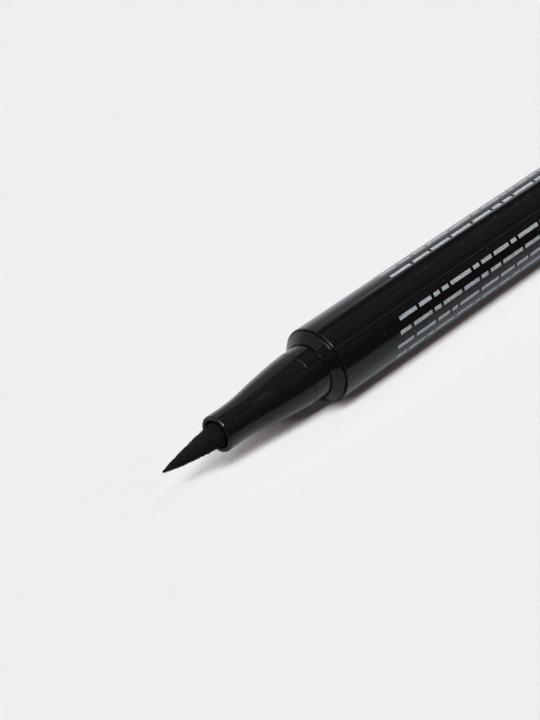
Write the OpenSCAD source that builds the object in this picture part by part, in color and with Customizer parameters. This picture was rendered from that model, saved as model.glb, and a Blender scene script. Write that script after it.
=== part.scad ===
// Liquid eyeliner pen lying on its side. The felt tip points along -X and the cap is
// posted on the tail. Every piece is turned about the pen's own axis, which is drawn
// along Z with zero at the front rim of the barrel, and is then laid down along X.

/* [Barrel] */
// Outer diameter of the barrel and of the cap
body_d = 10.5; // [9.6:0.1:13]
// Length of the barrel tube
barrel_l = 98; // [80:1:130]
// Wall of the barrel at the sockets in its two ends
socket_wall = 0.85; // [0.7:0.05:1]
// Height of the shoulder between each socket and the ink tank
tank_shoulder = 0.15; // [0.1:0.05:0.3]
// Rounding of the barrel's two rims
rim_round = 0.1; // [0.05:0.01:0.15]
// Width of the barrel's end face that shows round the collar
rim_ledge = 0.29; // [0.22:0.01:0.4]

/* [Front collar] */
// Step in from the barrel's side to the neck that the cap seats on
neck_inset = 1.61; // [1.5:0.01:1.9]
// Length of the neck in front of the collar's chamfer
neck_l = 2.67; // [2:0.01:4]
// Wall of the neck round the nose cone's spigot
neck_wall = 0.7; // [0.5:0.05:0.9]
// Height of the collar's straight edge over the barrel's rim
collar_step = 0.38; // [0.3:0.02:0.6]
// Axial length of the collar's chamfer
collar_chamfer_l = 0.9; // [0.6:0.05:1.4]
// Rounding of the collar's outer edge
collar_round = 0.08; // [0.05:0.01:0.2]
// Width of the flat between the neck and the foot of the chamfer
neck_ledge = 0.18; // [0.04:0.02:0.4]
// Depth that the collar's plug reaches into the barrel
collar_plug_l = 9; // [7:0.5:12]

/* [Nose cone] */
// Length of the nose cone in front of the collar
nose_l = 14.2; // [12:0.05:17]
// Step in from the neck to the nose cone's rear shoulder
nose_inset = 0.02; // [0:0.01:0.1]
// Rounding of the nose cone's rear shoulder
nose_shoulder_round = 0.1; // [0.05:0.01:0.4]
// Wall at the waist behind the lip
nose_wall = 0.53; // [0.4:0.01:0.7]
// Flare of the lip beyond the waist
lip_flare = 0.025; // [0:0.005:0.06]
// Depth of the front bore, from the lip to the seat of the felt's sleeve
front_bore_l = 9.15; // [8:0.05:11]
// Length of the spigot that is pushed into the collar
spigot_l = 8.9; // [7:0.1:11]

/* [Felt tip] */
// Diameter of the felt's shank
felt_d = 3.16; // [2.8:0.02:3.6]
// Gap between the felt and the front bore, which the sleeve fills further in
felt_gap = 0.36; // [0.3:0.02:0.5]
// Length of the felt in front of the lip
felt_out = 9.15; // [7:0.05:11]
// Length of the pointed part of the felt
felt_taper_l = 10.3; // [8:0.1:12]
// Diameter of the fine end of the felt
felt_point_d = 0.24; // [0.16:0.02:0.5]
// Length of the felt behind the sleeve
felt_tail_l = 2; // [1:0.1:3]
// Length of the sleeve that holds the felt in the front bore
sleeve_l = 6.2; // [5:0.1:7]
// Number of air grooves round the sleeve
sleeve_grooves = 4; // [2:1:6]
// Width of one air groove
sleeve_groove_w = 0.5; // [0.3:0.05:0.7]
// Depth of one air groove
sleeve_groove_h = 0.14; // [0.08:0.02:0.18]

/* [Ink feed] */
// Diameter of the fibre wick
wick_d = 1.6; // [1.2:0.05:2]
// Length of the wick that stands in the tank
wick_out = 0.3; // [0.1:0.05:0.4]
// Number of fins on the feed
fin_count = 26; // [12:1:30]
// Thickness of one fin
fin_t = 0.35; // [0.25:0.05:0.5]
// Capillary gap between two fins
fin_gap = 0.3; // [0.2:0.05:0.5]
// Height of a fin over the feed's core
fin_h = 2.1; // [1.6:0.1:2.4]
// Running gap between the fins and the barrel
fin_clear = 0.2; // [0.1:0.05:0.4]
// Width of the ink slit along the fins
ink_slit_w = 0.3; // [0.2:0.05:0.5]
// Width of the air notch along the fins
air_notch_w = 1.4; // [0.8:0.1:2]
// Thickness of the feed's front disc
feed_disc_t = 1; // [0.8:0.1:1.5]
// Length of the feed's sealing head
feed_head_l = 3.4; // [2.8:0.1:4.5]
// Wall of the stem round the wick
feed_stem_wall = 0.7; // [0.5:0.05:0.9]
// Length of the stem, which also stops the mixing ball
feed_stem_l = 3; // [2:0.1:4]

/* [Seals and ball] */
// Depth of the groove for each sealing ring
seal_groove_h = 0.9; // [0.7:0.05:1.1]
// Width of the groove for each sealing ring
seal_groove_w = 1.1; // [1:0.05:1.4]
// Diameter of the steel mixing ball
ball_d = 4; // [3:0.1:5]

/* [Tail plug] */
// Depth that the plug reaches into the barrel
tail_skirt_l = 9; // [7:0.5:12]
// Length of the straight stub that the cap is posted on
tail_stub_l = 8.5; // [6:0.1:10]
// Rounding of the end of the stub
tail_round = 0.5; // [0.2:0.05:1]
// Wall of the stub round the hollow that lightens it
tail_wall = 1.94; // [1.6:0.02:2.4]
// Wall at the closed end of the stub
tail_end_wall = 1.4; // [1:0.1:2]

/* [Cap] */
// Wall round the side of the cap
cap_wall = 0.85; // [0.7:0.05:0.9]
// Thickness of the cap's closed end
cap_end_wall = 1.6; // [1.2:0.1:2.5]
// Rounding of the cap's closed end
cap_end_round = 0.7; // [0.3:0.05:1.2]
// Room in front of the felt when the pen is closed
cap_tip_room = 1.5; // [1:0.1:2.5]
// Wall of the inner cap at its closed end
liner_wall = 0.65; // [0.5:0.05:0.7]
// Narrowing of the inner cap's room towards its closed end
liner_draft = 0.5; // [0.3:0.05:0.8]
// Length of the cross that centres the inner cap in the outer one
liner_cross_l = 5; // [2:0.1:9]
// Thickness of that cross
liner_cross_t = 0.8; // [0.6:0.1:1.2]

/* [Hidden] */

// Facets of a full turn, and steps of a rounding and of a drawn curve
turn_facets = 96;
round_steps = 6;
curve_steps = 14;

// Gap of a pressed fit, of the cap's sliding fit, of a sealing ring and at the cap's rim
press_gap = 0.02;
slide_gap = 0.04;
seal_gap = 0.01;
seat_gap = 0.05;
// Gap under the mixing ball and at the end of its travel
ball_gap = 0.05;
// Gap between the cap's bevelled mouth and the collar's chamfer
bevel_gap = 0.08;
// Overrun of every cut
over = 0.5;

// Snap bead of the pushed-in pieces, its distance from the mouth or the end that it is
// near, and the share of its width that is flat
bead_h = 0.1;
bead_w = 0.9;
bead_inset = 2.2;
bead_flat_share = 0.5;
// Distance of the tail's sealing ring from the tank
tail_ring_inset = 2.2;

// Rounding of the lip's outer and inner edge, and of the neck's front edge
lip_round = 0.26;
lip_inner_round = 0.12;
neck_round = 0.06;
// Angles that the rounded edges of the collar and of the nose's shoulder turn through
collar_edge_turn = 70;
shoulder_turn = 50;
// Width and depth of the air slot along the nose's rear bore
air_slot_w = 0.5;
air_slot_h = 0.2;

// Middle of the nose's taper, as shares of its change in radius and of its length, and
// the place of its waist as a share of its length
nose_mid_share = [0.461, 0.394];
nose_waist_share = 0.868;
// Handles of the nose's two curves, as shares of each curve's change in radius and length
shoulder_curve_share = [[0.12, 0.3], [0.6, 0.66]];
waist_curve_share = [[0.613, 0.426], [1, 0.53]];
// Handles of the felt's curve, as shares of its change in radius and of its length
felt_curve_share = [[0.534, 0.33], [0.82, 0.67]];

// Radii from the outside in
body_r = body_d / 2;
socket_r = body_r - socket_wall;
tank_r = socket_r - tank_shoulder;
plug_r = socket_r - press_gap;
flange_r = body_r - rim_ledge;
neck_r = body_r - neck_inset;
collar_bore_r = neck_r - neck_wall;
chamfer_foot_r = neck_r + neck_ledge;
spigot_r = collar_bore_r - press_gap;
nose_rear_r = neck_r - nose_inset;

// Radii from the inside out
wick_r = wick_d / 2;
wick_bore_r = wick_r + press_gap;
stem_r = wick_bore_r + feed_stem_wall;
felt_r = felt_d / 2;
felt_bore_r = felt_r + press_gap;
nose_bore_r = felt_r + felt_gap;
waist_r = nose_bore_r + nose_wall;
lip_r = waist_r + lip_flare;
ball_r = ball_d / 2;

// Places along the pen in front of the barrel's rim
neck_z = -collar_step - collar_chamfer_l;
nose_z = neck_z - neck_l;
lip_z = nose_z - nose_l;
felt_z = lip_z - felt_out;
sleeve_end_z = lip_z + front_bore_l;
felt_end_z = sleeve_end_z + felt_tail_l;
spigot_end_z = nose_z + spigot_l;

// Places along the pen inside the barrel
fins_z = collar_plug_l + feed_disc_t;
fin_pitch = fin_t + fin_gap;
fins_l = fin_count * fin_pitch + fin_gap;
head_z = fins_z + fins_l;
front_socket_l = head_z + feed_head_l;
stem_end_z = front_socket_l + feed_stem_l;
tail_face_z = barrel_l - tail_skirt_l;

// Fins of the feed, and the grooves and sections of the two sealing rings
fin_r = socket_r - fin_clear;
core_r = fin_r - fin_h;
groove_r = plug_r - seal_groove_h;
ring_r = (socket_r - groove_r) / 2 - seal_gap;
ring_mid_r = (socket_r + groove_r) / 2;
feed_ring_z = head_z + feed_head_l / 2;
tail_ring_z = tail_face_z + tail_ring_inset;

// Places along the pen behind the barrel
tail_end_z = barrel_l + collar_step + collar_chamfer_l + tail_stub_l;
cap_z = barrel_l + seat_gap;

// Inside of the cap, counted from its mouth: a bevel that clears the collar, the grip
// on the neck, a straight room for the tail's stub and a narrowing one for the felt
mouth_r = flange_r + bevel_gap;
cap_bore_r = body_r - cap_wall;
grip_r = neck_r + slide_gap;
room_r = grip_r + bevel_gap;
room_end_r = room_r - liner_draft;
bevel_slope = collar_chamfer_l / (flange_r - chamfer_foot_r);
mouth_l = collar_step + bevel_gap;
liner_z = mouth_l + (mouth_r - cap_bore_r) * bevel_slope;
grip_z = mouth_l + (mouth_r - grip_r) * bevel_slope;
grip_end_z = grip_z + neck_l;
straight_end_z = tail_end_z - barrel_l + bevel_gap;
room_end_z = -felt_z + cap_tip_room;
liner_end_z = room_end_z + liner_wall;
cross_end_z = liner_end_z + liner_cross_l;
cap_deep_z = cross_end_z + press_gap;
cap_l = cap_deep_z + cap_end_wall;

// Middle of the pen's length, which is laid over the origin
middle_z = (felt_z + cap_z + cap_l) / 2;

// Points of an arc about a centre, from one angle to another
function arc(centre, r, from, to) = [
    for (i = [0:round_steps])
        let (a = from + (to - from) * i / round_steps)
        centre + r * [cos(a), sin(a)]
];

// Points of a curve from one place to another, with its two handles as shares of the way
function curve(from, to, handles) =
    let (
        way = to - from,
        first = from + [way[0] * handles[0][0], way[1] * handles[0][1]],
        second = from + [way[0] * handles[1][0], way[1] * handles[1][1]]
    )
    [
        for (i = [0:curve_steps])
            let (t = i / curve_steps, u = 1 - t)
            u * u * u * from + 3 * u * u * t * first + 3 * u * t * t * second + t * t * t * to
    ];

// Points of a snap bead on a plug, or of its groove in a bore, towards the tail
function bead(r, z) = [
    [r, z - bead_w / 2],
    [r + bead_h, z - bead_w * bead_flat_share / 2],
    [r + bead_h, z + bead_w * bead_flat_share / 2],
    [r, z + bead_w / 2]
];

// Points of a sealing ring's groove in a plug, towards the tail
function ring_groove(z) = [
    [plug_r, z - seal_groove_w / 2],
    [groove_r, z - seal_groove_w / 2],
    [groove_r, z + seal_groove_w / 2],
    [plug_r, z + seal_groove_w / 2]
];

// Collar that stands out of the barrel: a straight edge, a rounding, the chamfer and a
// flat up to the neck, drawn away from the barrel and used at both ends of the pen
function collar_edge() = concat(
    [[flange_r, 0]],
    arc([flange_r - collar_round, collar_step - collar_round], collar_round, 0, collar_edge_turn),
    [
        [chamfer_foot_r, collar_step + collar_chamfer_l],
        [neck_r, collar_step + collar_chamfer_l]
    ]
);

function reversed(points) = [for (i = [len(points) - 1:-1:0]) points[i]];
function mirrored(points) = [for (p = points) [p[0], -p[1]]];
function moved(points, z) = [for (p = points) p + [0, z]];

// Lays what is drawn along the pen's axis down on the floor
module laid() {
    translate([-middle_z, 0, body_r])
        rotate([0, 90, 0])
            children();
}

// Turns an outline of [radius, place] points about the pen's axis
module turned(outline) {
    rotate_extrude($fn = turn_facets)
        polygon(outline);
}

// Tube with a shoulder behind each socket and a groove for each snap bead
module barrel() {
    color([0.07, 0.07, 0.075])
    laid() turned(concat(
        [[socket_r, 0]],
        arc([body_r - rim_round, rim_round], rim_round, -90, 0),
        arc([body_r - rim_round, barrel_l - rim_round], rim_round, 0, 90),
        [[socket_r, barrel_l]],
        reversed(bead(socket_r, barrel_l - bead_inset)),
        [
            [socket_r, tail_face_z],
            [tank_r, tail_face_z],
            [tank_r, front_socket_l],
            [socket_r, front_socket_l]
        ],
        reversed(bead(socket_r, collar_plug_l - bead_inset))
    ));
}

// Ring pressed into the barrel, with the chamfer and the neck in front of it
module front_collar() {
    color([0.08, 0.08, 0.085])
    laid() turned(concat(
        [[collar_bore_r, collar_plug_l]],
        reversed(bead(collar_bore_r, spigot_end_z - bead_inset)),
        [[collar_bore_r, nose_z]],
        arc([neck_r - neck_round, nose_z + neck_round], neck_round, -90, 0),
        reversed(mirrored(collar_edge())),
        [[plug_r, 0]],
        bead(plug_r, collar_plug_l - bead_inset),
        [[plug_r, collar_plug_l]]
    ));
}

// Outside of the nose, from its rounded shoulder over the taper and waist to the lip
function nose_outline() =
    let (
        rear = [nose_rear_r, nose_z - nose_shoulder_round],
        mid = [
            nose_rear_r + (waist_r - nose_rear_r) * nose_mid_share[0],
            nose_z - nose_l * nose_mid_share[1]
        ],
        waist = [waist_r, nose_z - nose_l * nose_waist_share]
    )
    concat(
        arc(rear - [nose_shoulder_round, 0], nose_shoulder_round, shoulder_turn, 0),
        curve(rear, mid, shoulder_curve_share),
        curve(mid, waist, waist_curve_share),
        arc([lip_r - lip_round, lip_z + lip_round], lip_round, 0, -90),
        arc([nose_bore_r + lip_inner_round, lip_z + lip_inner_round], lip_inner_round, -90, -180)
    );

// Tapered nose with a wide front bore, a narrow rear bore and a spigot for the collar
module nose_cone() {
    color([0.08, 0.08, 0.085])
    laid() difference() {
        turned(concat(
            nose_outline(),
            [
                [nose_bore_r, sleeve_end_z],
                [felt_bore_r, sleeve_end_z],
                [felt_bore_r, spigot_end_z],
                [spigot_r, spigot_end_z]
            ],
            reversed(bead(spigot_r, spigot_end_z - bead_inset)),
            [[spigot_r, nose_z]]
        ));
        // Lets air past the felt and the feed
        translate([-felt_bore_r - air_slot_h, -air_slot_w / 2, sleeve_end_z - over])
            cube([felt_bore_r, air_slot_w, spigot_end_z - sleeve_end_z + 2 * over]);
    }
}

// Felt ground to a point in front, with a plain shank that ends against the wick
module felt_tip() {
    felt_point_r = felt_point_d / 2;
    taper_end_z = felt_z + felt_taper_l;
    color([0.11, 0.11, 0.115])
    laid() turned(concat(
        [[0, felt_z]],
        curve([felt_point_r, felt_z + felt_point_r], [felt_r, taper_end_z], felt_curve_share),
        [[felt_r, felt_end_z], [0, felt_end_z]]
    ));
}

// Sleeve that holds the felt in the nose, with air grooves along its outside
module tip_sleeve() {
    sleeve_r = nose_bore_r - press_gap;
    sleeve_z = sleeve_end_z - sleeve_l;
    color([0.16, 0.16, 0.17])
    laid() difference() {
        turned([
            [felt_bore_r, sleeve_z],
            [sleeve_r, sleeve_z],
            [sleeve_r, sleeve_end_z],
            [felt_bore_r, sleeve_end_z]
        ]);
        for (i = [0:sleeve_grooves - 1])
            rotate([0, 0, i * 360 / sleeve_grooves])
                translate([sleeve_r - sleeve_groove_h, -sleeve_groove_w / 2, sleeve_z - over])
                    cube([sleeve_r, sleeve_groove_w, sleeve_l + 2 * over]);
    }
}

// Fibre rod through the feed, from the tank to the felt
module ink_wick() {
    color([0.2, 0.2, 0.2])
    laid() translate([0, 0, felt_end_z])
        cylinder(r = wick_r, h = stem_end_z + wick_out - felt_end_z, $fn = turn_facets);
}

// Feed between the tank and the felt: a front tube, a comb of capillary fins that holds
// back the ink, a sealing head against the barrel's shoulder and a stem into the tank
module finned_feed() {
    color([0.75, 0.75, 0.72])
    laid() difference() {
        turned(concat(
            [
                [wick_bore_r, felt_end_z],
                [felt_r, felt_end_z],
                [felt_r, collar_plug_l],
                [plug_r, collar_plug_l],
                [plug_r, fins_z]
            ],
            [
                for (i = [0:fin_count - 1])
                    let (z = fins_z + fin_gap + i * fin_pitch)
                    each [[core_r, z - fin_gap], [core_r, z], [fin_r, z], [fin_r, z + fin_t]]
            ],
            [[core_r, head_z - fin_gap], [core_r, head_z], [plug_r, head_z]],
            ring_groove(feed_ring_z),
            [
                [plug_r, front_socket_l],
                [stem_r, front_socket_l],
                [stem_r, stem_end_z],
                [wick_bore_r, stem_end_z]
            ]
        ));
        // The slit below feeds ink to every gap, and the notch above lets air past
        translate([core_r, -ink_slit_w / 2, fins_z])
            cube([fin_h + over, ink_slit_w, fins_l]);
        translate([-core_r - fin_h - over, -air_notch_w / 2, collar_plug_l - over])
            cube([fin_h + over, air_notch_w, fins_l + feed_disc_t + over]);
    }
}

// Round sealing ring that fills the groove of a plug
module sealing_ring(z) {
    color([0.15, 0.15, 0.15])
    laid() translate([0, 0, z])
        rotate_extrude($fn = turn_facets)
            translate([ring_mid_r, 0])
                circle(r = ring_r, $fn = turn_facets / 2);
}

module feed_seal() {
    sealing_ring(feed_ring_z);
}

module tail_seal() {
    sealing_ring(tail_ring_z);
}

// Ball that stirs the ink, lying on the bottom of the tank against the tail plug
module mixing_ball() {
    color([0.7, 0.7, 0.72])
    laid() translate([tank_r - ball_r - ball_gap, 0, tail_face_z - ball_r - ball_gap])
        sphere(r = ball_r, $fn = turn_facets);
}

// Closed plug of the tank, whose stub repeats the neck so that the cap can be posted
module tail_plug() {
    hollow_r = neck_r - tail_wall;
    hollow_end_z = tail_end_z - tail_end_wall;
    color([0.08, 0.08, 0.085])
    laid() turned(concat(
        [
            [0, hollow_end_z],
            [hollow_r, hollow_end_z],
            [hollow_r, tail_face_z],
            [plug_r, tail_face_z]
        ],
        ring_groove(tail_ring_z),
        bead(plug_r, barrel_l - bead_inset),
        [[plug_r, barrel_l]],
        moved(collar_edge(), barrel_l),
        arc([neck_r - tail_round, tail_end_z - tail_round], tail_round, 0, 90),
        [[0, tail_end_z]]
    ));
}

// Outer cap, whose thin mouth is bevelled inside to pass over the collar
module cap_shell() {
    color([0.07, 0.07, 0.075])
    laid() turned(moved(concat(
        [[mouth_r, 0]],
        arc([body_r - rim_round, rim_round], rim_round, -90, 0),
        arc([body_r - cap_end_round, cap_l - cap_end_round], cap_end_round, 0, 90),
        [
            [0, cap_l],
            [0, cap_deep_z],
            [cap_bore_r, cap_deep_z],
            [cap_bore_r, liner_z],
            [mouth_r, mouth_l]
        ]
    ), cap_z));
}

// Inner cap, which grips the neck and keeps the felt from drying, with a cross behind
// its closed end that centres it in the outer cap
module inner_cap() {
    outer_r = cap_bore_r - press_gap;
    color([0.3, 0.3, 0.3])
    laid() translate([0, 0, cap_z]) {
        turned([
            [grip_r, grip_z],
            [outer_r, liner_z + press_gap],
            [outer_r, straight_end_z],
            [room_end_r + liner_wall, liner_end_z],
            [0, liner_end_z],
            [0, room_end_z],
            [room_end_r, room_end_z],
            [room_r, straight_end_z],
            [room_r, grip_end_z],
            [grip_r, grip_end_z]
        ]);
        intersection() {
            cylinder(r = outer_r, h = cross_end_z, $fn = turn_facets);
            for (turn = [0, 90])
                rotate([0, 0, turn])
                    translate([-body_r, -liner_cross_t / 2, room_end_z + liner_wall / 2])
                        cube([body_d, liner_cross_t, cap_l]);
        }
    }
}

barrel();
front_collar();
nose_cone();
felt_tip();
tip_sleeve();
ink_wick();
finned_feed();
feed_seal();
mixing_ball();
tail_plug();
tail_seal();
cap_shell();
inner_cap();
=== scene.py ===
import math

import bmesh
import bpy
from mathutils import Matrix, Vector, noise
from mathutils.bvhtree import BVHTree


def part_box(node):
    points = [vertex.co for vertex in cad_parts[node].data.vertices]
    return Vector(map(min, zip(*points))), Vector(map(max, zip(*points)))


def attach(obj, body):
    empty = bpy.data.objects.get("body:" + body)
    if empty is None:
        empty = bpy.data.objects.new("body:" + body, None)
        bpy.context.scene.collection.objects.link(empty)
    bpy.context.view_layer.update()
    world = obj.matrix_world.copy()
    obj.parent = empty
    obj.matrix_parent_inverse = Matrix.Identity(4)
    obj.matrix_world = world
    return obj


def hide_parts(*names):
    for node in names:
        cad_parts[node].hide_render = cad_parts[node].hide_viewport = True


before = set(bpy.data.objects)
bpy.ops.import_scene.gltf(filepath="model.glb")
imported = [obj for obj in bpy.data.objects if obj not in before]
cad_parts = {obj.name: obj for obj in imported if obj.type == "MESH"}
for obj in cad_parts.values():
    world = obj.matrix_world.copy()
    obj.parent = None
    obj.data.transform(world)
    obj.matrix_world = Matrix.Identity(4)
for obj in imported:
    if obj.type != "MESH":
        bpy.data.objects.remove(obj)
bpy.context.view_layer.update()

# One millimetre, and the pen's own measures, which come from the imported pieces
MM = 0.001
FRONT_RIM_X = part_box("barrel")[0].x
BARREL_R = (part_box("barrel")[1].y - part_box("barrel")[0].y) / 2
LIP_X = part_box("nose_cone")[0].x
POINT_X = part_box("felt_tip")[0].x
FELT_END_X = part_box("felt_tip")[1].x
AXIS_Z = BARREL_R


def linear(level):
    """Linear value of a display level from 0 to 255."""
    share = level / 255
    if share <= 0.04045:
        return share / 12.92
    return ((share + 0.055) / 1.055) ** 2.4


def grey(level, warmth=0.0):
    """Linear colour of a display level, a little warmer or cooler than neutral."""
    value = linear(level)
    return (value * (1 + warmth), value, value * (1 - warmth), 1.0)


def shade(value, tint):
    """Linear colour of a value, with its own share for red, green and blue."""
    return tuple(value * part for part in tint) + (1.0,)


# Level of the floor and the backdrop
PAPER = 239

# Camera

IMAGE_H = 720
SENSOR = 36.0
FOCAL_PX = 2093.92
CAMERA_AWAY = 264.108 * MM
CAMERA_TURN = math.radians(-46.673)
CAMERA_RISE = math.radians(39.217)
AIM_RIGHT = 5.903 * MM
AIM_UP = -0.736 * MM
CLIP_NEAR = 10 * MM
CLIP_FAR = 20.0


def make_camera():
    """Camera at the photograph's viewing angle, aimed past the barrel's front rim."""
    flat = math.cos(CAMERA_RISE)
    back = Vector((
        math.sin(CAMERA_TURN) * flat,
        -math.cos(CAMERA_TURN) * flat,
        math.sin(CAMERA_RISE),
    ))
    right = Vector((math.cos(CAMERA_TURN), math.sin(CAMERA_TURN), 0))
    up = back.cross(right)
    rim = Vector((FRONT_RIM_X, 0, AXIS_Z))
    data = bpy.data.cameras.new("photo_camera")
    data.sensor_width = SENSOR
    data.lens = FOCAL_PX * SENSOR / IMAGE_H
    data.clip_start = CLIP_NEAR
    data.clip_end = CLIP_FAR
    camera = bpy.data.objects.new("photo_camera", data)
    camera.rotation_mode = "QUATERNION"
    camera.rotation_quaternion = (-back).to_track_quat("-Z", "Y")
    camera.location = rim - AIM_RIGHT * right - AIM_UP * up + CAMERA_AWAY * back
    bpy.context.scene.collection.objects.link(camera)
    bpy.context.scene.camera = camera


# Node helpers

class Tree:
    """Adds nodes to a tree and links them in one go."""

    def __init__(self, tree):
        self.tree = tree

    def add(self, kind, **values):
        node = self.tree.nodes.new(kind)
        for name, value in values.items():
            setattr(node, name, value)
        return node

    def link(self, out, into):
        self.tree.links.new(out, into)

    def give(self, value, socket):
        """Gives an input a plain value, or the output that it takes."""
        if isinstance(value, bpy.types.NodeSocket):
            self.link(value, socket)
        else:
            socket.default_value = value

    def math(self, operation, first, second=None, third=None):
        node = self.add("ShaderNodeMath", operation=operation)
        for socket, value in zip(node.inputs, (first, second, third)):
            if value is not None:
                self.give(value, socket)
        return node.outputs[0]

    def mixed(self, share, first, second):
        """Mixes two colours, the second by its share."""
        node = self.add("ShaderNodeMix", data_type="RGBA")
        self.link(share, node.inputs["Factor"])
        self.give(first, node.inputs["A"])
        self.give(second, node.inputs["B"])
        return node.outputs["Result"]

    def between(self, value, low, high, to_low=0.0, to_high=1.0, smooth=True):
        """Maps a value from one range to another, held at both ends."""
        node = self.add("ShaderNodeMapRange")
        if smooth:
            node.interpolation_type = "SMOOTHSTEP"
        self.link(value, node.inputs["Value"])
        node.inputs["From Min"].default_value = low
        node.inputs["From Max"].default_value = high
        node.inputs["To Min"].default_value = to_low
        node.inputs["To Max"].default_value = to_high
        return node.outputs["Result"]


def new_material(name):
    """Empty material with one shader, ready for its nodes."""
    material = bpy.data.materials.new(name)
    material.use_nodes = True
    material.node_tree.nodes.clear()
    nodes = Tree(material.node_tree)
    out = nodes.add("ShaderNodeOutputMaterial")
    shader = nodes.add("ShaderNodeBsdfPrincipled")
    nodes.link(shader.outputs["BSDF"], out.inputs["Surface"])
    return material, nodes, shader


def placed(nodes, stretch):
    """Object coordinates about the pen's axis, scaled by a stretch."""
    where = nodes.add("ShaderNodeTexCoord")
    mapping = nodes.add("ShaderNodeMapping", vector_type="POINT")
    nodes.link(where.outputs["Object"], mapping.inputs["Vector"])
    mapping.inputs["Location"].default_value = (0, 0, -AXIS_Z * stretch[2])
    mapping.inputs["Scale"].default_value = stretch
    return mapping.outputs["Vector"]


def rough_noise(nodes, stretch, detail=3.0, roughness=0.55):
    """Noise with so many waves a metre along the pen and across it."""
    texture = nodes.add("ShaderNodeTexNoise")
    nodes.link(placed(nodes, stretch), texture.inputs["Vector"])
    texture.inputs["Scale"].default_value = 1.0
    texture.inputs["Detail"].default_value = detail
    texture.inputs["Roughness"].default_value = roughness
    return texture.outputs["Fac"]


# Materials

# Span between which most of a noise's values lie
NOISE_SPAN = (0.3, 0.7)
# Dust: room for one speck, a speck's size and the share of it that is full, the share of
# places that hold one, its level and how much it dulls the polish
SPECK_CELL = 2.4 * MM
SPECK_R = 0.085 * MM
SPECK_CORE = 0.3
SPECK_SHARE = 0.5
SPECK_LEVEL = 150
SPECK_DULLNESS = 0.5
# Polished plastic: its refraction, its colours, the waves of its haze, the span of the haze
# and how much rougher it makes the polish, and the waves of its drawing lines
PLASTIC_IOR = 1.42
BLACK = (linear(18.8), linear(16.4), linear(17.0), 1.0)
NOSE_BLACK = (linear(20.0), linear(20.0), linear(20.0), 1.0)
HAZE_WAVES = (160.0, 420.0, 420.0)
HAZE_SPAN = (0.35, 0.7)
HAZE_GAIN = 1.8
DRAWN_WAVES = (9.0, 1500.0, 1500.0)
# Depth of the drawing lines on long drawn tubes and on small mouldings
TUBE_LINES = 0.0012 * MM
MOULDED_LINES = 0.0008 * MM
# Unpolished mouldings: the waves of their grain and flow, the grain's depth, and how much
# darker and rougher the flow makes them
MOULD_GRAIN_WAVES = (5200.0, 5200.0, 5200.0)
FLOW_WAVES = (240.0, 380.0, 380.0)
MOULD_GRAIN_DEPTH = 0.006 * MM
FLOW_DARKEST = 0.88
FLOW_GAIN = 1.3
# Felt: the waves of its strands, patches and flecks, the spans of its unevenness and its
# flecks, the strands' depth, and its roughness and gloss
STRAND_WAVES = (1100.0, 4600.0, 4600.0)
PATCH_WAVES = (900.0, 1500.0, 1500.0)
FLECK_WAVES = (4200.0, 6000.0, 6000.0)
UNEVEN_SPAN = (0.16, 0.36)
FLECK_SPAN = (0.72, 0.8)
STRAND_DEPTH = 0.03 * MM
FELT_ROUGHNESS = (0.75, 0.95)
FELT_GLOSS = 0.2
# How much paler than the felt its stray fibres are
FLECK_GAIN = 2.6
# Colour of inked felt against a plain grey
FELT_TINT = (0.99, 0.97, 1.07)
# Painted shade: where the root of the felt inside the nose's bore is darkened, and its level
ROOT_SHADE_X = (LIP_X - 0.14 * MM, LIP_X + 0.1 * MM)
ROOT_SHADE_LEVEL = 5
# Printed ink: its level, its warmth, the share of its level where it is worn, the waves and
# the span of the wear, and its roughness
PRINT_LEVEL = 196
PRINT_WARMTH = -0.06
WORN_SHARE = 0.72
WEAR_WAVES = (4200.0, 4200.0, 4200.0)
WEAR_SPAN = (0.3, 0.6)
PRINT_ROUGHNESS = (0.35, 0.6)
# Steel: the waves of its lapping marks, its levels and its roughness
LAPPING_WAVES = (1800.0, 6000.0, 2600.0)
STEEL_LEVELS = (178, 205)
STEEL_ROUGHNESS = (0.12, 0.26)


def dust_specks(nodes):
    """Mask of a few fine dust specks that lie on the plastic, some of them faint."""
    split = nodes.add("ShaderNodeSeparateXYZ")
    side = 1 / SPECK_CELL
    nodes.link(placed(nodes, (side, side, side)), split.inputs[0])
    angle = nodes.math("ARCTAN2", split.outputs["Y"], split.outputs["Z"])
    unrolled = nodes.add("ShaderNodeCombineXYZ")
    nodes.link(split.outputs["X"], unrolled.inputs[0])
    nodes.link(nodes.math("MULTIPLY", angle, BARREL_R * side), unrolled.inputs[1])
    cells = nodes.add("ShaderNodeTexVoronoi", feature="F1", voronoi_dimensions="2D")
    nodes.link(unrolled.outputs[0], cells.inputs["Vector"])
    cells.inputs["Scale"].default_value = 1.0
    near = nodes.between(
        cells.outputs["Distance"], SPECK_R / SPECK_CELL, SPECK_CORE * SPECK_R / SPECK_CELL
    )
    random = nodes.add("ShaderNodeSeparateColor")
    nodes.link(cells.outputs["Color"], random.inputs["Color"])
    kept = nodes.math("LESS_THAN", random.outputs["Red"], SPECK_SHARE)
    clear = nodes.math("MULTIPLY", random.outputs["Green"], random.outputs["Green"])
    return nodes.math("MULTIPLY", near, nodes.math("MULTIPLY", kept, clear))


def raise_surface(nodes, shader, height, depth):
    """Gives a finish a bump of a given depth."""
    bump = nodes.add("ShaderNodeBump")
    bump.inputs["Distance"].default_value = depth
    nodes.link(height, bump.inputs["Height"])
    nodes.link(bump.outputs["Normal"], shader.inputs["Normal"])


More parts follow.
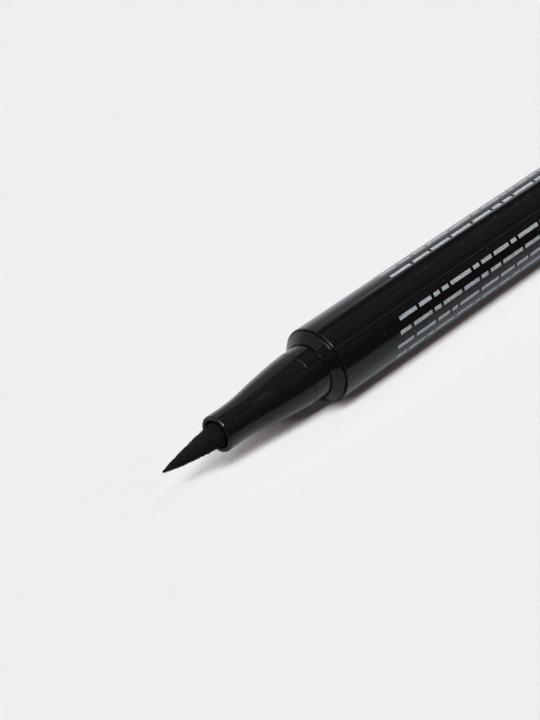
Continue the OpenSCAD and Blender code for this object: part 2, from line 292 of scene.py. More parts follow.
def polished_plastic(name, roughness, line_depth, black=BLACK):
    """Polished black moulding with drawing lines along the pen and a little dust."""
    material, nodes, shader = new_material(name)
    specks = dust_specks(nodes)
    haze = rough_noise(nodes, HAZE_WAVES)
    lines = rough_noise(nodes, DRAWN_WAVES, detail=4.0)
    nodes.link(nodes.mixed(specks, black, grey(SPECK_LEVEL)), shader.inputs["Base Color"])
    smooth = nodes.between(haze, *HAZE_SPAN, roughness, roughness * HAZE_GAIN)
    dusty = nodes.math("MULTIPLY_ADD", specks, SPECK_DULLNESS, smooth)
    nodes.link(dusty, shader.inputs["Roughness"])
    raise_surface(nodes, shader, lines, line_depth)
    shader.inputs["IOR"].default_value = PLASTIC_IOR
    return material


def plain_moulding(name, colour, roughness):
    """Unpolished moulding with the fine grain of a spark-eroded mould."""
    material, nodes, shader = new_material(name)
    grain = rough_noise(nodes, MOULD_GRAIN_WAVES)
    flow = rough_noise(nodes, FLOW_WAVES)
    tone = nodes.mixed(flow, shade(FLOW_DARKEST, colour[:3]), colour)
    nodes.link(tone, shader.inputs["Base Color"])
    dull = nodes.between(flow, *NOISE_SPAN, roughness, roughness * FLOW_GAIN)
    nodes.link(dull, shader.inputs["Roughness"])
    raise_surface(nodes, shader, grain, MOULD_GRAIN_DEPTH)
    return material


def inked_felt(name, dark, light, shaded_root_x=None):
    """Felt soaked with black ink, in fine strands along the pen with a few pale fibres. Past a span at
    its root, where one is given, it is painted dark with the shade that falls inside the nose's bore."""
    material, nodes, shader = new_material(name)
    strands = rough_noise(nodes, STRAND_WAVES, detail=4.0, roughness=0.75)
    patches = rough_noise(nodes, PATCH_WAVES)
    flecks = rough_noise(nodes, FLECK_WAVES, detail=0.0)
    uneven = nodes.between(nodes.math("MULTIPLY", strands, patches), *UNEVEN_SPAN)
    darkest = shade(linear(dark), FELT_TINT)
    lightest = shade(linear(light), FELT_TINT)
    stray = shade(linear(light * FLECK_GAIN), FELT_TINT)
    colour = nodes.mixed(uneven, darkest, lightest)
    colour = nodes.mixed(nodes.between(flecks, *FLECK_SPAN), colour, stray)
    # Painted shade: the felt's root inside the bore is darkened
    if shaded_root_x:
        where = nodes.add("ShaderNodeTexCoord")
        split = nodes.add("ShaderNodeSeparateXYZ")
        nodes.link(where.outputs["Object"], split.inputs[0])
        root_shade = nodes.between(split.outputs["X"], *shaded_root_x)
        colour = nodes.mixed(root_shade, colour, grey(ROOT_SHADE_LEVEL))
    nodes.link(colour, shader.inputs["Base Color"])
    dull = nodes.between(patches, *NOISE_SPAN, *FELT_ROUGHNESS)
    nodes.link(dull, shader.inputs["Roughness"])
    raise_surface(nodes, shader, strands, STRAND_DEPTH)
    shader.inputs["Specular IOR Level"].default_value = FELT_GLOSS
    return material


def printed_ink(name, level):
    """Thin pale ink, a little broken up where it is worn."""
    material, nodes, shader = new_material(name)
    wear = rough_noise(nodes, WEAR_WAVES)
    worn = grey(level * WORN_SHARE, PRINT_WARMTH)
    whole = grey(level, PRINT_WARMTH)
    tone = nodes.mixed(nodes.between(wear, *WEAR_SPAN), worn, whole)
    nodes.link(tone, shader.inputs["Base Color"])
    dull = nodes.between(wear, *NOISE_SPAN, *PRINT_ROUGHNESS)
    nodes.link(dull, shader.inputs["Roughness"])
    return material


def bright_steel(name):
    """Ground steel ball with fine lapping marks."""
    material, nodes, shader = new_material(name)
    marks = rough_noise(nodes, LAPPING_WAVES)
    dark, light = STEEL_LEVELS
    nodes.link(nodes.mixed(marks, grey(dark), grey(light)), shader.inputs["Base Color"])
    dull = nodes.between(marks, *NOISE_SPAN, *STEEL_ROUGHNESS)
    nodes.link(dull, shader.inputs["Roughness"])
    shader.inputs["Metallic"].default_value = 1.0
    return material


def dress_nodes():
    """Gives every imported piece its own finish."""
    barrel = polished_plastic("barrel_plastic", 0.035, TUBE_LINES)
    collar = polished_plastic("collar_plastic", 0.05, MOULDED_LINES)
    nose = polished_plastic("nose_plastic", 0.06, MOULDED_LINES, NOSE_BLACK)
    cap = polished_plastic("cap_plastic", 0.035, TUBE_LINES)
    seal = plain_moulding("seal_rubber", grey(38), 0.5)
    finishes = {
        "barrel": barrel,
        "front_collar": collar,
        "nose_cone": nose,
        "tail_plug": collar,
        "cap_shell": cap,
        "felt_tip": inked_felt("felt", 6, 20, ROOT_SHADE_X),
        "tip_sleeve": plain_moulding("sleeve_plastic", grey(30), 0.45),
        "ink_wick": inked_felt("wick_fibre", 24, 60),
        "finned_feed": plain_moulding("feed_plastic", grey(205, 0.02), 0.38),
        "feed_seal": seal,
        "tail_seal": seal,
        "mixing_ball": bright_steel("ball_steel"),
        "inner_cap": plain_moulding("inner_cap_plastic", grey(70), 0.4),
    }
    for name, material in finishes.items():
        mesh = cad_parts[name].data
        mesh.materials.clear()
        mesh.materials.append(material)
    return finishes


# Felt

# Rings of the felt's skin, fine where it shows and coarse from a little inside the nose
FELT_STEP = 0.06 * MM
FELT_COARSE_STEP = 0.5 * MM
FELT_FACETS = 200
FELT_SHOWS = 1 * MM
# Height of the strands and of the nap, and the length and width of one of each
FELT_RIDGE = 0.06 * MM
FELT_NAP = 0.05 * MM
STRAND_SIZE = (1.1 * MM, 0.22 * MM)
NAP_SIZE = (0.14 * MM, 0.11 * MM)
# Radius at which the felt's unevenness reaches its full height
FELT_FULL_R = 0.5 * MM
# How far the fine end has bent down and towards -Y in use, and how far the middle bows
FELT_BEND = Vector((0, -0.07 * MM, -0.06 * MM))
FELT_BOW = Vector((0, -0.055 * MM, -0.045 * MM))
# How much the root swells with ink at the lip, and over what length
FELT_SWELL = 0.1 * MM
FELT_SWELL_L = 1.2 * MM
# Corners of the skin that lie this close are one, and sides of a loose fibre
FELT_WELD = 0.001 * MM
FIBRE_SIDES = 4


def outline_of(node):
    """Radius of a turned piece at each place along the pen where its mesh has corners."""
    widest = {}
    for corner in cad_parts[node].data.vertices:
        place = round(corner.co.x, 6)
        radius = math.hypot(corner.co.y, corner.co.z - AXIS_Z)
        widest[place] = max(widest.get(place, 0.0), radius)
    return sorted(widest.items())


def steps(span):
    """Places from one end of a span to the other."""
    first, last, step = span
    count = round((last - first) / step)
    return [first + (last - first) * i / count for i in range(count + 1)]


def radius_at(outline, x):
    """Radius of an outline at a place, in straight lines between its corners."""
    for (x0, r0), (x1, r1) in zip(outline, outline[1:]):
        if x <= x1:
            return r0 + (r1 - r0) * (x - x0) / (x1 - x0)
    return outline[-1][1]


def felt_noise(x, across, size):
    """Unevenness of the felt at a point, in bumps of a given length and width."""
    length, width = size
    return noise.noise(Vector((x / length, across.x / width, across.y / width)))


def felt_height(x, angle, radius):
    """How far a point of the felt stands out of or back from the plain cone."""
    across = Vector((math.cos(angle), math.sin(angle))) * radius
    strand = felt_noise(x, across, STRAND_SIZE)
    nap = felt_noise(x, across, NAP_SIZE)
    full = min(1.0, radius / FELT_FULL_R)
    return (FELT_RIDGE * strand + FELT_NAP * nap) * full


def make_felt(material):
    """Ground felt with uneven strands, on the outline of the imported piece."""
    outline = outline_of("felt_tip")
    smooth_x = LIP_X + FELT_SHOWS
    places = steps((POINT_X, smooth_x, FELT_STEP))
    places += steps((smooth_x, FELT_END_X, FELT_COARSE_STEP))[1:]
    mesh = bmesh.new()
    rings = []
    for x in places:
        radius = radius_at(outline, x)
        out = max(0.0, (LIP_X - x) / (LIP_X - POINT_X))
        bend = FELT_BEND * out ** 2 + FELT_BOW * math.sin(math.pi * out)
        swell = 0.5 + 0.5 * math.cos(math.pi * min(1.0, abs(x - LIP_X) / FELT_SWELL_L))
        ring = []
        for j in range(FELT_FACETS):
            angle = 2 * math.pi * j / FELT_FACETS
            r = radius
            if x < smooth_x:
                r += felt_height(x, angle, radius) + FELT_SWELL * swell
            place = Vector((x, -r * math.sin(angle), AXIS_Z + r * math.cos(angle)))
            ring.append(mesh.verts.new(place + bend))
        rings.append(ring)
    for ring, following in zip(rings, rings[1:]):
        for j in range(FELT_FACETS):
            k = (j + 1) % FELT_FACETS
            mesh.faces.new((ring[j], ring[k], following[k], following[j]))
    mesh.faces.new(rings[0])
    mesh.faces.new(rings[-1])
    bmesh.ops.remove_doubles(mesh, verts=mesh.verts, dist=FELT_WELD)
    bmesh.ops.recalc_face_normals(mesh, faces=mesh.faces)
    return finished(mesh, "felt_point", material)


def finished(mesh, name, material):
    """Turns a built mesh into a smooth-shaded object."""
    data = bpy.data.meshes.new(name)
    mesh.to_mesh(data)
    mesh.free()
    data.materials.append(material)
    data.shade_smooth()
    piece = bpy.data.objects.new(name, data)
    bpy.context.scene.collection.objects.link(piece)
    return piece


# Geometry node helpers

SOCKETS = {
    float: "NodeSocketFloat",
    int: "NodeSocketInt",
    bpy.types.Material: "NodeSocketMaterial",
}


def node_group(name, sizes):
    """Geometry tree with one named input for each size."""
    group = bpy.data.node_groups.new(name, "GeometryNodeTree")
    group.is_modifier = True
    group.interface.new_socket("Geometry", in_out="INPUT", socket_type="NodeSocketGeometry")
    group.interface.new_socket("Geometry", in_out="OUTPUT", socket_type="NodeSocketGeometry")
    for label, value in sizes.items():
        kind = next(kind for kind in SOCKETS if isinstance(value, kind))
        group.interface.new_socket(label, in_out="INPUT", socket_type=SOCKETS[kind])
    nodes = Tree(group)
    given = nodes.add("NodeGroupInput").outputs
    made = nodes.add("NodeGroupOutput").inputs[0]
    return nodes, given, made


def random_between(nodes, low, high, seed, number=None):
    """Random value between two others, the same each run for the same seed."""
    node = nodes.add("FunctionNodeRandomValue", data_type="FLOAT")
    nodes.give(low, node.inputs[2])
    nodes.give(high, node.inputs[3])
    nodes.link(seed, node.inputs["Seed"])
    if number is not None:
        nodes.link(number, node.inputs["ID"])
    return node.outputs[1]


def grown(name, nodes, sizes, base):
    """Runs a tree on a base mesh and keeps the result as a plain mesh object."""
    carrier = bpy.data.objects.new(name + "_base", base)
    bpy.context.scene.collection.objects.link(carrier)
    modifier = carrier.modifiers.new(name, "NODES")
    modifier.node_group = nodes.tree
    for item in nodes.tree.interface.items_tree:
        if item.in_out == "INPUT" and item.name in sizes:
            modifier[item.identifier] = sizes[item.name]
    bpy.context.view_layer.update()
    evaluated = carrier.evaluated_get(bpy.context.evaluated_depsgraph_get())
    data = bpy.data.meshes.new_from_object(evaluated)
    data.name = name
    bpy.data.objects.remove(carrier)
    piece = bpy.data.objects.new(name, data)
    bpy.context.scene.collection.objects.link(piece)
    return piece


def make_fibres(felt, material):
    """Loose fibre ends that stand off the felt and lean towards its point."""
    sizes = {
        "Density": 24.0e6,
        "Longest": 0.36 * MM,
        "Shortest": 0.14 * MM,
        "Thickness": 0.022 * MM,
        "Least Lean": 0.1,
        "Most Lean": 0.55,
        "Back End": LIP_X + 0.4 * MM,
        "Seed": 5,
        "Material": material,
    }
    nodes, given, made = node_group("felt_fibres", sizes)
    where = nodes.add("GeometryNodeInputPosition")
    split = nodes.add("ShaderNodeSeparateXYZ")
    nodes.link(where.outputs[0], split.inputs[0])
    showing = nodes.add("FunctionNodeCompare", data_type="FLOAT", operation="LESS_THAN")
    nodes.link(split.outputs["X"], showing.inputs[0])
    nodes.link(given["Back End"], showing.inputs[1])
    spread = nodes.add("GeometryNodeDistributePointsOnFaces", distribute_method="RANDOM")
    nodes.link(given["Geometry"], spread.inputs["Mesh"])
    nodes.link(showing.outputs[0], spread.inputs["Selection"])
    nodes.link(given["Density"], spread.inputs["Density"])
    nodes.link(given["Seed"], spread.inputs["Seed"])
    lean = random_between(nodes, given["Least Lean"], given["Most Lean"], given["Seed"])
    outward = nodes.add("ShaderNodeVectorMath", operation="SCALE")
    nodes.link(spread.outputs["Normal"], outward.inputs[0])
    nodes.link(lean, outward.inputs["Scale"])
    forward = nodes.add("ShaderNodeVectorMath", operation="ADD")
    nodes.link(outward.outputs[0], forward.inputs[0])
    forward.inputs[1].default_value = (-1.0, 0.0, 0.0)
    aim = nodes.add("FunctionNodeAlignRotationToVector", axis="Z")
    nodes.link(forward.outputs[0], aim.inputs["Vector"])
    hair = nodes.add("GeometryNodeMeshCone")
    hair.inputs["Vertices"].default_value = FIBRE_SIDES
    hair.inputs["Radius Top"].default_value = 0.0
    nodes.link(given["Thickness"], hair.inputs["Radius Bottom"])
    nodes.link(given["Longest"], hair.inputs["Depth"])
    share = nodes.math("DIVIDE", given["Shortest"], given["Longest"])
    stretch = nodes.add("ShaderNodeCombineXYZ")
    stretch.inputs[0].default_value = 1.0
    stretch.inputs[1].default_value = 1.0
    nodes.link(random_between(nodes, share, 1.0, given["Seed"]), stretch.inputs[2])
    stand = nodes.add("GeometryNodeInstanceOnPoints")
    nodes.link(spread.outputs["Points"], stand.inputs["Points"])
    nodes.link(hair.outputs["Mesh"], stand.inputs["Instance"])
    nodes.link(aim.outputs[0], stand.inputs["Rotation"])
    nodes.link(stretch.outputs[0], stand.inputs["Scale"])
    finish_tree(nodes, stand.outputs[0], given["Material"], made)
    return grown("felt_fibres", nodes, sizes, felt.data)


def finish_tree(nodes, geometry, material, made):
    """Ends a tree: instances made real, and one material on all of it."""
    real = nodes.add("GeometryNodeRealizeInstances")
    nodes.link(geometry, real.inputs[0])
    paint = nodes.add("GeometryNodeSetMaterial")
    nodes.link(real.outputs[0], paint.inputs["Geometry"])
    nodes.link(material, paint.inputs["Material"])
    nodes.link(paint.outputs[0], made)


# Print

# Angle of the first row of each block from the top towards -Y, the turn to the next row,
# how many rows, where they start behind the barrel's rim, how ragged they start, and the seed
ROW_TURN = math.radians(18.9)
PRINT_BLOCKS = {
    "print_lower": (math.radians(50.1), ROW_TURN, 5, 9.5 * MM, 2.2 * MM, 7),
    "print_upper": (math.radians(-11.9), -ROW_TURN, 4, 13.9 * MM, 1.5 * MM, 3),
}
DASHES_PER_ROW = 20
# Corners across a dash, which let it bend with the barrel
DASH_CORNERS = 9


def make_print(name, block, material):
    """Rows of plain dashes printed round the barrel."""
    first, turn, rows, start, ragged, seed = block
    sizes = {
        "Rows": rows,
        "Dashes Per Row": DASHES_PER_ROW,
        "First Angle": first,
        "Row Turn": turn,
        "Start": FRONT_RIM_X + start,
        "Ragged": ragged,
        "Shortest": 0.9 * MM,
        "Longest": 4.2 * MM,
        "Gap": 0.55 * MM,
        "Dash Height": 0.52 * MM,
        "Ink Thickness": 0.012 * MM,
        "Barrel Radius": BARREL_R,
        "Axis Height": AXIS_Z,
        "Seed": seed,
        "Material": material,
    }
    nodes, given, made = node_group(name, sizes)
    dash = bent_dash(nodes, given)
    count = nodes.math("MULTIPLY", given["Rows"], given["Dashes Per Row"])
    line = nodes.add("GeometryNodeMeshLine")
    nodes.link(count, line.inputs["Count"])
    index = nodes.add("GeometryNodeInputIndex").outputs[0]
    row = nodes.math("FLOOR", nodes.math("DIVIDE", index, given["Dashes Per Row"]))
    length = random_between(nodes, given["Shortest"], given["Longest"], given["Seed"], index)
    run = nodes.add("GeometryNodeAccumulateField", data_type="FLOAT", domain="POINT")
    nodes.link(nodes.math("ADD", length, given["Gap"]), run.inputs[0])
    nodes.link(row, run.inputs["Group ID"])
    begin = nodes.math("MULTIPLY", random_between(nodes, 0.0, 1.0, given["Seed"], row), given["Ragged"])
    begin = nodes.math("ADD", begin, given["Start"])
    middle = nodes.math("MULTIPLY_ADD", length, 0.5, run.outputs["Trailing"])
    place = nodes.add("ShaderNodeCombineXYZ")
    nodes.link(nodes.math("ADD", begin, middle), place.inputs[0])
    nodes.link(given["Axis Height"], place.inputs[2])
    lay = nodes.add("GeometryNodeSetPosition")
    nodes.link(line.outputs[0], lay.inputs["Geometry"])
    nodes.link(place.outputs[0], lay.inputs["Position"])
    roll = nodes.add("ShaderNodeCombineXYZ")
    nodes.link(nodes.math("MULTIPLY_ADD", row, given["Row Turn"], given["First Angle"]), roll.inputs[0])
    turned = nodes.add("FunctionNodeEulerToRotation")
    nodes.link(roll.outputs[0], turned.inputs[0])
    stretch = nodes.add("ShaderNodeCombineXYZ")
    nodes.link(length, stretch.inputs[0])
    stretch.inputs[1].default_value = 1.0
    stretch.inputs[2].default_value = 1.0
    stamp = nodes.add("GeometryNodeInstanceOnPoints")
    nodes.link(lay.outputs[0], stamp.inputs["Points"])
    nodes.link(dash, stamp.inputs["Instance"])
    nodes.link(turned.outputs[0], stamp.inputs["Rotation"])
    nodes.link(stretch.outputs[0], stamp.inputs["Scale"])
    finish_tree(nodes, stamp.outputs[0], given["Material"], made)
    return grown(name, nodes, sizes, bpy.data.meshes.new(name + "_base"))


def bent_dash(nodes, given):
    """Closed film of ink one unit long, bent round the barrel's side."""
    size = nodes.add("ShaderNodeCombineXYZ")
    size.inputs[0].default_value = 1.0
    nodes.link(given["Dash Height"], size.inputs[1])
    nodes.link(nodes.math("MULTIPLY", given["Ink Thickness"], 2.0), size.inputs[2])
    film = nodes.add("GeometryNodeMeshCube")
    nodes.link(size.outputs[0], film.inputs["Size"])
    film.inputs["Vertices Y"].default_value = DASH_CORNERS
    where = nodes.add("GeometryNodeInputPosition")
    split = nodes.add("ShaderNodeSeparateXYZ")
    nodes.link(where.outputs[0], split.inputs[0])
    angle = nodes.math("DIVIDE", split.outputs["Y"], given["Barrel Radius"])
    radius = nodes.math("ADD", split.outputs["Z"], given["Barrel Radius"])
    bent = nodes.add("ShaderNodeCombineXYZ")
    nodes.link(split.outputs["X"], bent.inputs[0])
    nodes.link(nodes.math("MULTIPLY", nodes.math("SINE", angle), radius), bent.inputs[1])
    nodes.link(nodes.math("MULTIPLY", nodes.math("COSINE", angle), radius), bent.inputs[2])
    bend = nodes.add("GeometryNodeSetPosition")
    nodes.link(film.outputs["Mesh"], bend.inputs["Geometry"])
    nodes.link(bent.outputs[0], bend.inputs["Position"])
    return bend.outputs[0]


# Floor and light

FLOOR_HALF = 5.0
FLOOR_DROP = 0.01 * MM

# Soft boxes, each as its span of slopes from straight up along X, its span of slopes
# towards -Y, and its level. The first set shines back off the pen
SHINE_BOXES = {
    "key_nose_side": ((-1.6, -0.7), (0.12, 0.38), 13.8),
    "key_nose_back": ((-1.6, -0.7), (-0.09, 0.09), 8.0),
    "key_middle": ((-0.7, 0.1), (0.12, 0.36), 10.5),
    "key_tail_side": ((0.1, 0.27), (0.09, 0.45), 1.4),
    "key_back": ((-0.7, -0.1), (-0.3, 0.03), 5.0),
    "tail_side": ((1.45, 3.7), (-1.7, -0.36), 2.0),
}
# The second set lights the floor and the felt, with the rest of the sky at one level
CAST_BOXES = {
    "strip": ((-3.2, -0.3), (0.06, 0.37), 6.2),
    "strip_middle": ((-0.3, 0.2), (0.14, 0.39), 6.9),
    "strip_tail": ((0.2, 0.9), (0.2, 0.38), 2.2),
    "tail": ((0.7, 2.4), (-0.7, -0.25), 8.4),
    "tail_low": ((1.3, 4.2), (-3.0, -0.7), 3.6),
    "front": ((0.7, 3.0), (0.9, 1.5), 3.4),
}
SKY_LEVEL = 0.075
# Softness of the boxes' ends along X and of their sides
BOX_END = 0.24
BOX_EDGE = 0.14
# Least height of a direction, so that the slopes to the horizon stay finite
HORIZON = 0.001
# The pale backdrop: its level from the horizon up, its slanting upper edge, where that edge
# stops slanting towards the nose, and the edge's softness
BACKDROP_LEVELS = (0.78, 0.44)
BACKDROP_FADE = 0.25
BACKDROP_EDGE = (0.79, 0.2)
BACKDROP_CORNER = -0.2
BACKDROP_NOSE_SIDE = 0.16
BACKDROP_SOFT = 0.015
# Level of the dark ceiling by its angle from straight up towards -Y, in degrees, with a
# narrow pale stripe at 30
CEILING = (
    (-90, 0.02), (-34, 0.02), (-27, 0.12), (10, 0.12), (14, 0.05), (27, 0.05),
    (28.8, 0.05), (29.7, 0.75), (30.3, 0.75), (31.2, 0.05), (48, 0.09), (56, 0.02), (90, 0.02),
)
# Painted reflection: level of the floor's colour that shines back off the pen, by its distance towards
# -Y, painted brighter near the pen and darker away from it. No part of it is above white, which the
# paper's colour reaches at 1.09
PAINTED_FLOOR_FALLOFF = (
    (-170 * MM, 1.0), (-84 * MM, 1.09), (-23 * MM, 1.09),
    (-10 * MM, 0.7), (-7 * MM, 0.45), (-2 * MM, 0.65), (1 * MM, 0.88), (7 * MM, 0.88),
    (12 * MM, 0.6), (48 * MM, 0.45), (80 * MM, 0.06),
)
# Floor's grid: fine round the nose and under the pen, coarse along the barrel and beyond
FINE_X = (-90 * MM, -46 * MM, 0.5 * MM)
COARSE_X = (-46 * MM, 94 * MM, 4 * MM)
FRONT_Y = (-36 * MM, -12 * MM, 3 * MM)
FINE_Y = (-12 * MM, 3 * MM, 0.3 * MM)
BACK_Y = (3 * MM, 30 * MM, 3 * MM)
# Farther lines of the grid on each side, out to where the pen's shadow has run out
FAR_X = (110 * MM, 140 * MM, 200 * MM, 400 * MM, 1.0, FLOOR_HALF)
FAR_Y = (50 * MM, 80 * MM, 140 * MM, 400 * MM, 1.0, FLOOR_HALF)
# Angle between two rays of a soft box along X, the slope between two across it, the most
# rows of them, and the rings and spokes of rays over the sky
RAY_TURN = 0.13
RAY_SLOPE = 0.07
MOST_ROWS = 8
SKY_RINGS = 4
SKY_SPOKES = 8
# Painted shade: share of the paper's level that shows where a share of the light arrives, darkened in
# deep shade and lifted by painted light towards its edge
PAINTED_SHADE_TONES = (
    (0.0, 0.03), (0.08, 0.035), (0.12, 0.12), (0.18, 0.23), (0.28, 0.39),
    (0.42, 0.61), (0.52, 0.78), (0.6, 0.93), (0.68, 1.0), (1.0, 1.0),
)
# Share of the paper's colour kept where no light arrives, a painted darkening of the shade
PAINTED_UNLIT_SHARE = 0.5
# Painted tint of the paper in deep shade, against its colour in the light, and the tone from which it
# no longer shows
PAINTED_SHADE_TINT = (1.15, 0.99, 0.96)
PAINTED_TINT_END = 0.45
# How much the paper's grain shows in the painted shade, where it also varies the painted light on the
# paper, the shares of light between which it comes in, and its waves
GRAIN = 0.18
GRAIN_SPAN = (0.7, 0.4)
PAPER_WAVES = (3000.0, 1900.0, 1900.0)
# Tint of what shines back off the plastic, in the glossy light and in the floor's painted reflection
COOL = (0.95, 1.0, 1.06)


def soft_share(value, span, edge):
    """Share of a box's level at a slope, falling off softly past both ends of its span."""
    rise = min(1.0, max(0.0, (value - span[0]) / edge + 0.5))
    fall = min(1.0, max(0.0, (span[1] - value) / edge + 0.5))
    return rise ** 2 * (3 - 2 * rise) * fall ** 2 * (3 - 2 * fall)


def light_rays():
    """Directions to the soft boxes and the sky, each with its share of the floor's light."""
    rays = []
    for long, wide, level in CAST_BOXES.values():
        first, last = (math.atan(slope) for slope in (long[0] - BOX_END / 2, long[1] + BOX_END / 2))
        low, high = wide[0] - BOX_EDGE / 2, wide[1] + BOX_EDGE / 2
        columns = math.ceil((last - first) / RAY_TURN)
        rows = min(MOST_ROWS, math.ceil((high - low) / RAY_SLOPE))
        for i in range(columns):
            along = math.tan(first + (last - first) * (i + 0.5) / columns)
            width = (1 + along ** 2) * (last - first) / columns
            for j in range(rows):
                across = low + (high - low) * (j + 0.5) / rows
                soft = soft_share(along, long, BOX_END) * soft_share(across, wide, BOX_EDGE)
                way = Vector((along, -across, 1.0))
                cell = width * (high - low) / rows
                share = level * soft * cell / way.length_squared ** 2 / math.pi
                rays.append((way.normalized(), share))
    for i in range(SKY_RINGS):
        reach = math.sqrt((i + 0.5) / SKY_RINGS)
        for j in range(SKY_SPOKES):
            turn = 2 * math.pi * (j + 0.5 * (i % 2)) / SKY_SPOKES
            way = Vector((reach * math.cos(turn), reach * math.sin(turn), math.sqrt(1 - reach ** 2)))
            rays.append((way, SKY_LEVEL / SKY_RINGS / SKY_SPOKES))
    return rays


def pen_tree():
    """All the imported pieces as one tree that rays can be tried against."""
    corners = []
    faces = []
    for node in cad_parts.values():
        start = len(corners)
        corners.extend(corner.co for corner in node.data.vertices)
        faces.extend([start + i for i in face.vertices] for face in node.data.polygons)
    return BVHTree.FromPolygons(corners, faces)


def make_floor():
    """Floor whose grid carries the share of the light that reaches it past the pen, for the painted
    shadow in its colour.
    """
    xs = steps(FINE_X) + steps(COARSE_X)[1:]
    xs = [-far for far in reversed(FAR_X)] + xs + list(FAR_X)
    ys = steps(FRONT_Y) + steps(FINE_Y)[1:] + steps(BACK_Y)[1:]
    ys = [-far for far in reversed(FAR_Y)] + ys + list(FAR_Y)
    places = [Vector((x, y, -FLOOR_DROP)) for x in xs for y in ys]
    faces = [
        (i * len(ys) + j, (i + 1) * len(ys) + j, (i + 1) * len(ys) + j + 1, i * len(ys) + j + 1)
        for i in range(len(xs) - 1)
        for j in range(len(ys) - 1)
    ]
    mesh = bpy.data.meshes.new("floor")
    mesh.from_pydata(places, [], faces)
    rays = light_rays()
    whole = sum(share for _, share in rays)
    tree = pen_tree()
    light = mesh.attributes.new("light", "FLOAT", "POINT")
    for place, value in zip(places, light.data):
        free = sum(share for way, share in rays if tree.ray_cast(place, way)[0] is None)
        value.value = free / whole
    floor = bpy.data.objects.new("floor", mesh)
    bpy.context.scene.collection.objects.link(floor)
    mesh.materials.append(paper_with_painted_light())


def ramp(nodes, value, stops):
    """Colours at given places, with straight steps between them."""
    node = nodes.add("ShaderNodeValToRGB")
    nodes.link(value, node.inputs[0])
    elements = node.color_ramp.elements
    while len(elements) < len(stops):
        elements.new(0.5)
    for element, (place, colour) in zip(elements, stops):
        element.position = place
        element.color = colour
    return node.outputs[0]


def scaled(nodes, colour, amount):
    """A colour made lighter or darker by an amount."""
    node = nodes.add("ShaderNodeVectorMath", operation="SCALE")
    nodes.link(colour, node.inputs[0])
    nodes.link(amount, node.inputs["Scale"])
    return node.outputs[0]


def paper_with_painted_light():
    """Pale paper. For the camera its colour holds a painted shadow of the pen and a painted glow that
    lifts the shadow's edge; for other rays it is a painted reflection, fainter away from the pen.
    """
    material, nodes, shader = new_material("paper_with_painted_light")
    where = nodes.add("ShaderNodeTexCoord")
    split = nodes.add("ShaderNodeSeparateXYZ")
    nodes.link(where.outputs["Object"], split.inputs[0])
    # Painted reflection: for rays other than the camera's, the paper's colour falls off away from the
    # pen
    nearest, farthest = -PAINTED_FLOOR_FALLOFF[0][0], -PAINTED_FLOOR_FALLOFF[-1][0]
    distance = nodes.between(split.outputs["Y"], nearest, farthest, smooth=False)
    painted_falloff = ramp(nodes, distance, [
        ((place + nearest) / (nearest - farthest), shade(linear(PAPER) * amount, COOL))
        for place, amount in PAINTED_FLOOR_FALLOFF
    ])
    arrived = nodes.add("ShaderNodeAttribute", attribute_name="light").outputs["Fac"]
    # Painted shade and painted light for camera rays: each baked share of light gives the paper a
    # darkened, tinted colour and a glowing lift
    base = []
    painted_lift = []
    for light, tone in PAINTED_SHADE_TONES:
        shown = max(0.0, 1 - tone / PAINTED_TINT_END)
        tint = [1 + (part - 1) * shown for part in PAINTED_SHADE_TINT]
        kept = min(1.0, tone / light) if light else PAINTED_UNLIT_SHARE
        base.append((light, shade(linear(PAPER) * kept, tint)))
        painted_lift.append((light, shade(linear(PAPER) * (tone - kept * light), tint)))
    grain = rough_noise(nodes, PAPER_WAVES, detail=5.0, roughness=0.7)
    grain = nodes.between(grain, *NOISE_SPAN, -GRAIN, GRAIN, smooth=False)
    grain = nodes.math("MULTIPLY", grain, nodes.between(arrived, *GRAIN_SPAN))
    grain = nodes.math("ADD", grain, 1.0)
    path = nodes.add("ShaderNodeLightPath")
    shown = scaled(nodes, ramp(nodes, arrived, base), grain)
    tone = nodes.mixed(path.outputs["Is Camera Ray"], painted_falloff, shown)
    nodes.link(tone, shader.inputs["Base Color"])
    nodes.link(scaled(nodes, ramp(nodes, arrived, painted_lift), grain), shader.inputs["Emission Color"])
    nodes.link(path.outputs["Is Camera Ray"], shader.inputs["Emission Strength"])
    shader.inputs["Roughness"].default_value = 1.0
    shader.inputs["Specular IOR Level"].default_value = 0.0
    return material


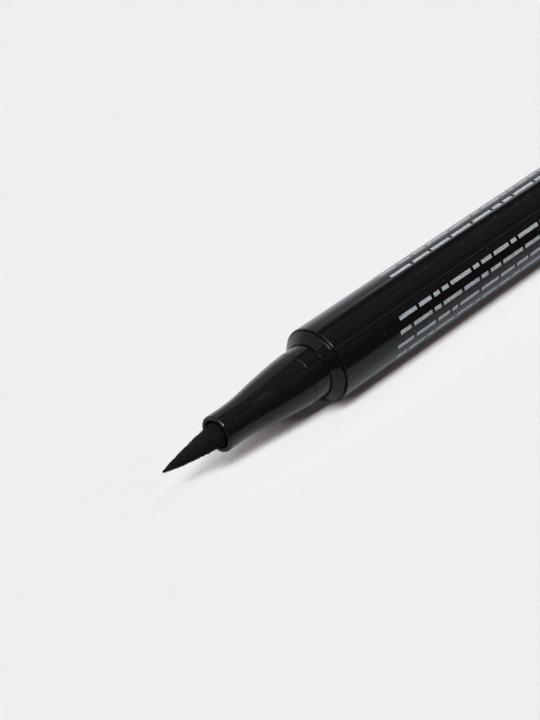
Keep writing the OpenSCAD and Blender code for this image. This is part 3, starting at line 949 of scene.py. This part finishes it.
def make_light():
    """Soft boxes, low backdrop and dark ceiling, and an even pale ground for the camera."""
    world = bpy.data.worlds.new("studio")
    bpy.context.scene.world = world
    world.use_nodes = True
    world.node_tree.nodes.clear()
    nodes = Tree(world.node_tree)
    where = nodes.add("ShaderNodeTexCoord")
    split = nodes.add("ShaderNodeSeparateXYZ")
    nodes.link(where.outputs["Generated"], split.inputs["Vector"])
    x, y, z = split.outputs
    height = nodes.math("MAXIMUM", z, HORIZON)
    along = nodes.math("DIVIDE", x, height)
    across = nodes.math("DIVIDE", nodes.math("MULTIPLY", y, -1.0), height)
    path = nodes.add("ShaderNodeLightPath")
    slant = nodes.math("MULTIPLY", nodes.math("MAXIMUM", x, BACKDROP_CORNER), BACKDROP_EDGE[0])
    slant = nodes.math("MULTIPLY_ADD", z, BACKDROP_EDGE[1], slant)
    slant = nodes.math("MAXIMUM", slant, BACKDROP_NOSE_SIDE)
    past = nodes.math("SUBTRACT", y, slant)
    behind = nodes.between(past, -BACKDROP_SOFT, BACKDROP_SOFT)
    faded = nodes.between(z, 0.0, BACKDROP_FADE, *BACKDROP_LEVELS, smooth=False)
    backdrop = nodes.math("MULTIPLY", behind, faded)
    open_side = nodes.math("SUBTRACT", 1.0, behind)
    tilt = nodes.math("ARCTAN2", nodes.math("MULTIPLY", y, -1.0), height)
    ceiling = ramp(nodes, nodes.between(tilt, -math.pi / 2, math.pi / 2, smooth=False), [
        ((angle + 90) / 180, shade(amount, (1.0, 1.0, 1.0))) for angle, amount in CEILING
    ])
    room = nodes.math("MULTIPLY_ADD", ceiling, open_side, backdrop)
    shine = boxes_light(nodes, along, across, SHINE_BOXES, room)
    cast = boxes_light(nodes, along, across, CAST_BOXES, SKY_LEVEL)
    more = nodes.math("SUBTRACT", shine, cast)
    light = nodes.math("MULTIPLY_ADD", path.outputs["Is Glossy Ray"], more, cast)
    tint = nodes.mixed(path.outputs["Is Glossy Ray"], (1.0, 1.0, 1.0, 1.0), shade(1.0, COOL))
    studio = nodes.add("ShaderNodeBackground")
    nodes.link(tint, studio.inputs["Color"])
    nodes.link(light, studio.inputs["Strength"])
    paper = nodes.add("ShaderNodeBackground")
    paper.inputs["Color"].default_value = grey(PAPER)
    choose = nodes.add("ShaderNodeMixShader")
    nodes.link(path.outputs["Is Camera Ray"], choose.inputs[0])
    nodes.link(studio.outputs[0], choose.inputs[1])
    nodes.link(paper.outputs[0], choose.inputs[2])
    out = nodes.add("ShaderNodeOutputWorld")
    nodes.link(choose.outputs[0], out.inputs["Surface"])


def boxes_light(nodes, along, across, boxes, light):
    """Adds the level of every soft box to what already comes from each direction."""
    for long, wide, level in boxes.values():
        ends = window(nodes, along, long, BOX_END)
        box = nodes.math("MULTIPLY", ends, window(nodes, across, wide, BOX_EDGE))
        light = nodes.math("MULTIPLY_ADD", box, level, light)
    return light


def window(nodes, value, span, edge):
    """Mask that is one inside a span and falls off softly past its ends."""
    rise = nodes.between(value, span[0] - edge / 2, span[0] + edge / 2)
    fall = nodes.between(value, span[1] + edge / 2, span[1] - edge / 2)
    return nodes.math("MULTIPLY", rise, fall)


def add_pieces(finishes):
    """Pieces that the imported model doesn't hold, each on the pen's own body."""
    felt = make_felt(finishes["felt_tip"])
    fibres = make_fibres(felt, finishes["felt_tip"])
    ink = printed_ink("print_ink", PRINT_LEVEL)
    prints = [make_print(name, block, ink) for name, block in PRINT_BLOCKS.items()]
    for piece in [felt, fibres] + prints:
        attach(piece, "pen")
    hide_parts("felt_tip")


make_camera()
add_pieces(dress_nodes())
make_floor()
make_light()

bpy.context.scene.view_settings.view_transform = "Standard"
